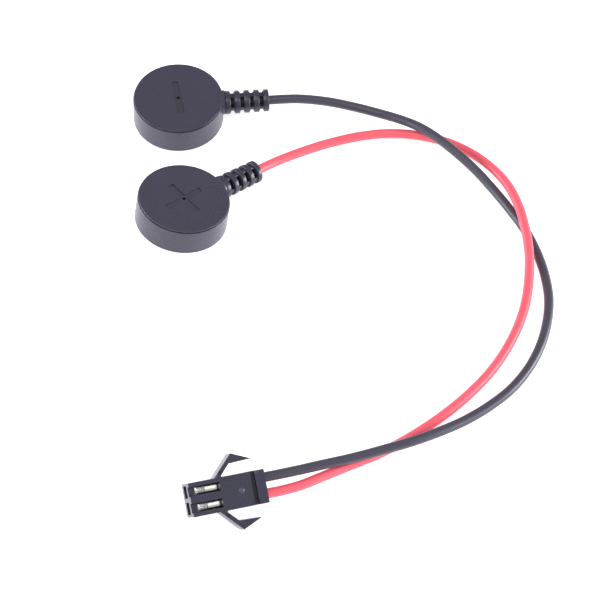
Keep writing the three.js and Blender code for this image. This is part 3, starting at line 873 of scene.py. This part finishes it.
def contact_plate(name, place):
    profile = [(0, 0)]
    for radius in MARK_RADII:
        profile += [(radius - MARK_TOP_HALF, 0), (radius - MARK_FLOOR_HALF, MARK_CUT),
                    (radius + MARK_FLOOR_HALF, MARK_CUT), (radius + MARK_TOP_HALF, 0)]
    profile += [(PLATE_RADIUS - PLATE_ROUND, 0), (PLATE_RADIUS - PLATE_CORNER, PLATE_CORNER),
                (PLATE_RADIUS, PLATE_ROUND), (PLATE_RADIUS, PLATE_THICK - PLATE_EDGE),
                (PLATE_RADIUS - PLATE_EDGE, PLATE_THICK), (0, PLATE_THICK)]
    plate = raw_object(f"{name}_turned_plate", turned(profile, sides=120))
    finished(plate, place, NICKEL, "lead_set", "nickel_plate", f"{name}_contact_plate")


for name, pod in PODS.items():
    contact_plate(name, pod["place"])

# %% Finishes for the kept inner pieces
KEPT_FINISHES = {"magnet": MAGNET_PLATE, "backing_pad": CARD, "solder_tag": TIN, "solder_joint": SOLDER}


def refinish(node, material):
    slots = frame["nodes"][node].data.materials
    slots.clear()
    slots.append(material)


for name in PODS:
    for part, material in KEPT_FINISHES.items():
        refinish(f"{name}_{part}", material)
for colour in JACKETS:
    for part in ("core_in_pod", "core_in_plug"):
        refinish(f"{colour}_{part}", COPPER)
print("finished", len(PODS) * len(KEPT_FINISHES) + 2 * len(JACKETS), "kept inner pieces")

# %% [markdown]
# ## The plug housing
#
# The housing is a small block with two channels right through it. Two windows on top show the contacts,
# with a shallow notch ahead of each. A groove across the back half takes the mating half's edge, and a short
# stub on each side carries a latch arm. Cutting a plain block gives the same order of work as its mould
# does. The stub's inner corner is filleted, because a sharp one would crack.

# %% Plug sizes
CHANNEL_WIDTH, CHANNEL_LOW, CHANNEL_HIGH = 1.9, 1.05, 3.15
CHANNEL_AXIS = (CHANNEL_LOW + CHANNEL_HIGH) / 2
WINDOW_START, WINDOW_END, WINDOW_WIDTH = 0.95, 4.85, 1.36
NOTCH_END, NOTCH_DEPTH, NOTCH_WIDTH = 1.0, 0.9, 1.5  # shallow, ahead of each window
GROOVE_START, GROOVE_END, GROOVE_DEPTH = 9.75, 10.45, 0.7
ARM_ROOT = Vector((4.15, PLUG_WIDTH / 2))
ARM_APEX, ARM_TIP, ARM_HEEL = Vector((7.33, 5.9)), (10.4, 4.53), (6.82, 4.38)
ARM_WIDTH, ARM_LOW, ARM_HIGH = 0.69, 1.85, 4.95
HINGE_ALONG = 1.25
STUB_INSET = 0.01  # the stub stays this far inside the arm's faces, so that no two faces share a place
SINK = 0.3  # how far the stub runs into the housing
ROOT_ROUND = 0.5
HINGE_STEPS = 12
SIDES = {"black": 1, "red": -1}
arm_way = (ARM_APEX - ARM_ROOT).normalized()
arm_across = Vector((arm_way.y, -arm_way.x))
print("an arm is", round((ARM_APEX - ARM_ROOT).length, 2), "mm long from root to apex")

# %% Points on an arm
def on_arm(along, across):
    return tuple(ARM_ROOT + arm_way * along + arm_across * across)


def for_side(outline, sign):
    return outline if sign > 0 else [(x, -y) for x, y in reversed(outline)]


def round_end(start_side, sweep, radius):
    """Half a turn about the hinge, from one face of the arm to the other."""
    centre = Vector(on_arm(HINGE_ALONG, ARM_WIDTH / 2))
    points = []
    for step in range(HINGE_STEPS + 1):
        angle = start_side + sweep * step / HINGE_STEPS
        points.append(tuple(centre + radius * (arm_across * math.cos(angle) + arm_way * math.sin(angle))))
    return points


print("the bend is at", [round(v, 2) for v in on_arm(HINGE_ALONG, ARM_WIDTH / 2)], "mm in the plug's frame")

# %% Housing
def arm_stub(sign):
    """The fixed root of an arm: a round end, and a fillet where its inner side meets the housing."""
    meet, steps = -ARM_WIDTH * arm_across.y / arm_way.y, 6
    corner = Vector(on_arm(meet, ARM_WIDTH))
    outline = [on_arm(-0.4, 0.05), on_arm(0, STUB_INSET)]
    outline += reversed(round_end(0, math.pi, ARM_WIDTH / 2 - STUB_INSET))
    fillet_from = Vector(on_arm(meet + ROOT_ROUND * 0.8, ARM_WIDTH - STUB_INSET))
    fillet_to = corner + Vector((ROOT_ROUND, 0))
    outline += [curve_through(fillet_from, corner, fillet_to, step / steps) for step in range(steps + 1)]
    outline += [(corner.x + ROOT_ROUND, PLUG_WIDTH / 2 - SINK), (ARM_ROOT.x, PLUG_WIDTH / 2 - SINK)]
    return prism(for_side(outline, sign), ARM_LOW, ARM_HIGH)


def boss_dome():
    foot, steps = PLUG_HEIGHT - 0.2, 7
    profile = [(0, foot), (BOSS_RADIUS, foot)]
    for step in range(steps + 1):
        angle = math.pi / 2 * step / steps
        profile.append((BOSS_RADIUS * math.cos(angle), PLUG_HEIGHT + BOSS_HEIGHT * math.sin(angle)))
    return turned(profile, sides=32, place=lambda r, h, c, s: (BOSS_X + r * c, r * s, h))


def plug_housing():
    half, above = PLUG_WIDTH / 2, PLUG_HEIGHT + 1
    block = slab(0, PLUG_LENGTH, -half, half, 0, PLUG_HEIGHT)
    joins = [*(arm_stub(sign) for sign in SIDES.values()), boss_dome()]
    cuts = [slab(GROOVE_START, GROOVE_END, -half - 1, half + 1, PLUG_HEIGHT - GROOVE_DEPTH, above)]
    for sign in SIDES.values():
        y = sign * PITCH / 2
        for x0, x1, width, low, high in (
            (-1, PLUG_LENGTH + 1, CHANNEL_WIDTH, CHANNEL_LOW, CHANNEL_HIGH),
            (WINDOW_START, WINDOW_END, WINDOW_WIDTH, CHANNEL_HIGH - 0.1, above),
            (-1, NOTCH_END, NOTCH_WIDTH, PLUG_HEIGHT - NOTCH_DEPTH, above),
        ):
            cuts.append(slab(x0, x1, y - width / 2, y + width / 2, low, high))
    housing = carved("plug_shell", block, joins, cuts, edge=0.07)
    return finished(housing, PLUG, PLUG_PLASTIC, "lead_set", "plug_plastic", "plug_housing")


housing = plug_housing()

# %% [markdown]
# ## The latch arms
#
# Each arm is a thin strip that leans back from the housing and ends in a barb. Pressed in, it bends at its
# root. It could be one mesh that is bent, but a hinge only turns a rigid piece. So the arm and its stub end
# in the same half round about the bend, and no gap opens as the arm moves.

# %% Latch arms
def latch_arm(colour, sign):
    blunt_tip = (ARM_TIP[0] - 0.05, ARM_TIP[1] - 0.01)
    outline = [on_arm(HINGE_ALONG, ARM_WIDTH), ARM_HEEL, blunt_tip, ARM_TIP, tuple(ARM_APEX),
               on_arm(HINGE_ALONG, 0)]
    outline += round_end(0, -math.pi, ARM_WIDTH / 2)[-2:0:-1]
    arm = carved(f"{colour}_side_arm", prism(for_side(outline, sign), ARM_LOW, ARM_HIGH), edge=0.05)
    return finished(arm, PLUG, PLUG_PLASTIC, f"{colour}_side_latch_arm", "plug_plastic",
                    f"latch_arm_{colour}_side")


arms = {colour: latch_arm(colour, sign) for colour, sign in SIDES.items()}

# %% [markdown]
# ## The crimp contacts
#
# A contact is folded from thin plated strip: a box that takes the mating pin, then two crimps, one on the
# bare conductor and one on the jacket. The windows show the top of the box, with pressed ridges across it
# and a smooth tongue behind them. Folding flat strip in steps would be true to the press, but only the
# folded shape shows, so each is built folded, from a hollow box and short tubes.

# %% Contact sizes
BOX_START, BOX_END, BOX_WIDTH, BOX_LOW, BOX_HIGH, STRIP = 1.3, 4.9, 1.5, 1.12, 3.0, 0.2
SHOULDER = 0.31
RIDGES, RIDGE_RADIUS, RIDGE_HALF = (1.55, 1.9, 2.25), 0.12, 0.44
CORE_CRIMP, JACKET_CRIMP = (5.3, 6.6, 0.64), (7.2, 8.5, 0.95)  # from, to and outer radius
CORE_BORE, JACKET_BORE = 0.44, LEAD_RADIUS + 0.03
STRIPPED_FROM = 7.0  # the jacket ends here, and the bare conductor runs on forwards
BORE_OVERLAP = 0.06
TIE_HALF = 0.5  # half the width of the strip that ties box and crimps together
SLOT_ROOM = 0.06  # room beside a lance
print("a contact is", round(JACKET_CRIMP[1] - BOX_START, 2), "mm long")

# %% Contact shapes
def across_ridge(x, y):
    profile = [(0, -RIDGE_HALF), (RIDGE_RADIUS, -RIDGE_HALF), (RIDGE_RADIUS, RIDGE_HALF), (0, RIDGE_HALF)]
    return turned(profile, sides=20, place=lambda r, h, c, s: (x + r * c, y + h, BOX_HIGH + r * s))


def bar_x(radius, x0, x1, y):
    profile = [(0, x0), (radius, x0), (radius, x1), (0, x1)]
    return turned(profile, sides=40, place=lambda r, h, c, s: (h, y + r * c, CHANNEL_AXIS + r * s))


def box_section(y, half, low, high, shoulder, x0, x1):
    """The box seen along the plug: square below, with sloping shoulders above."""
    outline = [(-half, low), (half, low), (half, high - shoulder), (half - shoulder, high),
               (shoulder - half, high), (-half, high - shoulder)]
    return prism(outline, x0, x1, place=lambda u, v, w: (w, y + u, v))


print("the box's section has", len(box_section(0, 1, 0, 1, 0.2, 0, 1)[0]) // 2, "corners")

# %% Contacts
LANCE = {"hinge": 2.8, "end": 4.8, "width": 0.8, "thick": 0.16, "rise": 12}
LANCE_AXIS = BOX_HIGH - LANCE["thick"] / 2
SPRING = {"hinge": 4.2, "end": 1.6, "width": 0.7, "thick": 0.14, "rise": 8}
SPRING_AXIS = 1.46


def crimp_contact(colour, sign):
    y = sign * PITCH / 2
    half, slot_half = BOX_WIDTH / 2, LANCE["width"] / 2 + SLOT_ROOM
    box = box_section(y, half, BOX_LOW, BOX_HIGH, SHOULDER, BOX_START, BOX_END)
    joins = [across_ridge(x, y) for x in RIDGES]
    joins.append(slab(BOX_END - 0.2, JACKET_CRIMP[1], y - TIE_HALF, y + TIE_HALF, BOX_LOW, BOX_LOW + STRIP))
    joins += [bar_x(radius, x0, x1, y) for x0, x1, radius in (CORE_CRIMP, JACKET_CRIMP)]
    cuts = [
        box_section(y, half - STRIP, BOX_LOW + STRIP, BOX_HIGH - STRIP, SHOULDER / 2,
                    BOX_START - 1, BOX_END + 1),
        slab(LANCE["hinge"] - 0.1, BOX_END + 0.25, y - slot_half, y + slot_half, CHANNEL_AXIS, BOX_HIGH + 1),
        bar_x(CORE_BORE, CORE_CRIMP[0] - 0.3, STRIPPED_FROM, y),
        bar_x(JACKET_BORE, STRIPPED_FROM - BORE_OVERLAP, JACKET_CRIMP[1] + 1, y),
    ]
    contact = carved(f"{colour}_strip_contact", box, joins, cuts, edge=0.03)
    return finished(contact, PLUG, TIN, "lead_set", "tin_plate", f"{colour}_crimp_contact")


CURL_FROM, CURL = 0.75, 0.48  # a leaf's last quarter curls down


def bent_leaf(name, sign, leaf, height, body, node):
    """A sprung leaf, straight from its hinge and curling down a little at its free end."""
    hinge, half_thick, half_width = leaf["hinge"], leaf["thick"] / 2, leaf["width"] / 2
    length, way = abs(leaf["end"] - hinge), 1 if leaf["end"] > hinge else -1
    rise, steps = math.radians(leaf["rise"]), 12
    top, under = [], []
    for step in range(steps + 1):
        t = step / steps
        x = hinge + way * length * t * math.cos(rise)
        up = length * t * math.sin(rise) - CURL * length * max(0.0, t - CURL_FROM) ** 2
        top.append((x, height + up + half_thick))
        under.append((x, height + up - half_thick))
    y = sign * PITCH / 2
    shape = prism(under + top[::-1], y - half_width, y + half_width, place=lambda u, v, w: (u, w, v))
    return finished(carved(name, shape, edge=0.025), PLUG, TIN, body, "tin_plate", node)


for colour, sign in SIDES.items():
    contact = crimp_contact(colour, sign)
    lance = bent_leaf(f"{colour}_tongue", sign, LANCE, LANCE_AXIS, f"{colour}_lance",
                      f"{colour}_locking_lance")
    spring = bent_leaf(f"{colour}_pin_leaf", sign, SPRING, SPRING_AXIS, f"{colour}_spring",
                       f"{colour}_pin_spring")
    tail = jacket_tail(f"{colour}_tail_in_plug", PLUG, CHANNEL_AXIS, sign * PITCH / 2, STRIPPED_FROM,
                       PLUG_LENGTH + JOIN, JACKETS[colour], f"{colour}_insulation", f"{colour}_lead_in_plug")

# %% [markdown]
# ## The leads' length
#
# A lead bends anywhere, so it can't be a chain of hinges. Each lead has its own contact, and the two
# leads' lengths are added up here.

print("two cords,", round((black_length + red_length) / MM, 1), "mm of lead in all")

# %% [markdown]
# ## Floor and light
#
# Small dark products are lit in a white tent: a large soft light overhead, one at each side to draw the
# edges, and a pale floor that throws light back up on the walls. A picture of a studio wrapped round the
# scene would do as well, but these few lamps can each be moved.

# %% Floor
FLOOR_GLOW = 0.6  # a lit table: it throws light up on the walls and softens every shadow
FLOOR_TINTS = (0.93, 0.93, 0.94), (0.95, 0.95, 0.96)
FLOOR_HALF, FLOOR_THICK, FLOOR_DROP = 2.0, 0.01, 0.00005  # metres


def pale_floor():
    material, start, shader = new_finish("pale_floor")
    plug_in(start, shader, Base_Color=tint(start, noise(start, 3.0), *FLOOR_TINTS), Roughness=0.8,
            Specular_IOR_Level=0.1, Emission_Color=(0.97, 0.95, 1.0, 1), Emission_Strength=FLOOR_GLOW)
    return material


floor_span = (-FLOOR_HALF, FLOOR_HALF)
floor = raw_object("floor", slab(*floor_span, *floor_span, -FLOOR_THICK, -FLOOR_DROP))
floor.data.materials.append(pale_floor())
print("floor is", 2 * FLOOR_HALF, "m across")

# %% Lights
COOL, WHITE, SURROUND = (0.93, 0.93, 1.0), (1, 1, 1), (0.95, 0.95, 1.0)
SURROUND_STRENGTH = 0.66


def soft_light(name, place, size, power, colour):
    data = bpy.data.lights.new(name, "AREA")
    data.shape, data.size, data.energy, data.color = "DISK", size, power, colour
    light = bpy.data.objects.new(name, data)
    bpy.context.scene.collection.objects.link(light)
    light.location = place
    light.rotation_euler = (LOOK_AT - Vector(place)).to_track_quat("-Z", "Y").to_euler()


soft_light("overhead", (-0.1, -0.25, 0.75), 0.6, 2.0, WHITE)
soft_light("left_side", (-0.6, -0.02, 0.1), 0.4, 5.2, COOL)
soft_light("right_side", (0.6, -0.02, 0.1), 0.4, 6.0, COOL)
world = bpy.data.worlds.new("white_tent")
bpy.context.scene.world = world
world.use_nodes = True
background = world.node_tree.nodes["Background"].inputs
background["Color"].default_value = (*SURROUND, 1)
background["Strength"].default_value = SURROUND_STRENGTH
bpy.context.scene.view_settings.view_transform = "Standard"
print("soft lights:", len(bpy.data.lights))
